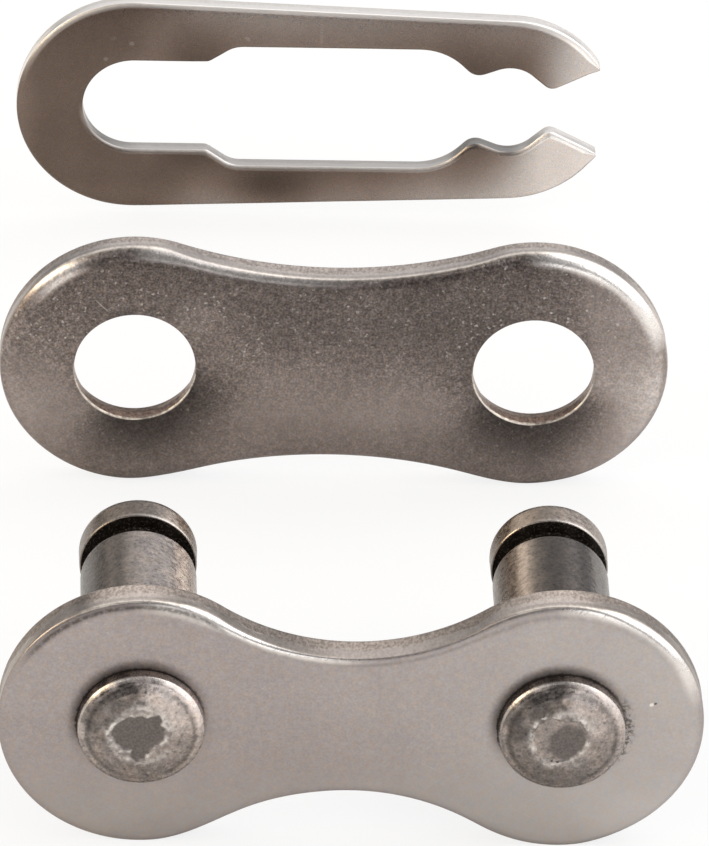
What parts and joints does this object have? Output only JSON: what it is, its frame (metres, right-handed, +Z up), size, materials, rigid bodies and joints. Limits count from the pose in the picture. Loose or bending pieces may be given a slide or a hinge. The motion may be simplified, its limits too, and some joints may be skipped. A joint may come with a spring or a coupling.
{
  "type": "roller chain connecting link",
  "caption": "Roller chain connecting link drawn apart: pin link with riveted, grooved pins, loose cover plate and spring clip.",
  "frame": {"origin": "middle of the link: halfway between the two pin axes, on the chain's centre plane", "axes": "+X along the chain towards the clip's open end, +Y along the pins from the riveted heads to the clip, +Z up across the chain"},
  "size_m": [0.0212, 0.0386, 0.0086],
  "materials": {
    "pin_plate": "satin, fine brushed grain",
    "pins": "satin, lightly pitted",
    "cover_plate": "satin, worn and speckled",
    "spring_clip": "smooth satin, bright edges"
  },
  "bodies": {
    "pin_link": {"pin_plate": "pin_plate", "left_pin": "pins", "right_pin": "pins"},
    "cover": {"cover_plate": "cover_plate"},
    "clip": {"spring_clip": "spring_clip"}
  },
  "joints": [
    {"name": "cover_slide", "type": "slide", "parent": "pin_link", "child": "cover", "axis": [0, 1, 0], "range_m": [-0.01355, 0]},
    {"name": "clip_slide", "type": "slide", "parent": "cover", "child": "clip", "axis": [0, 1, 0], "range_m": [-0.01553, 0]}
  ]
}
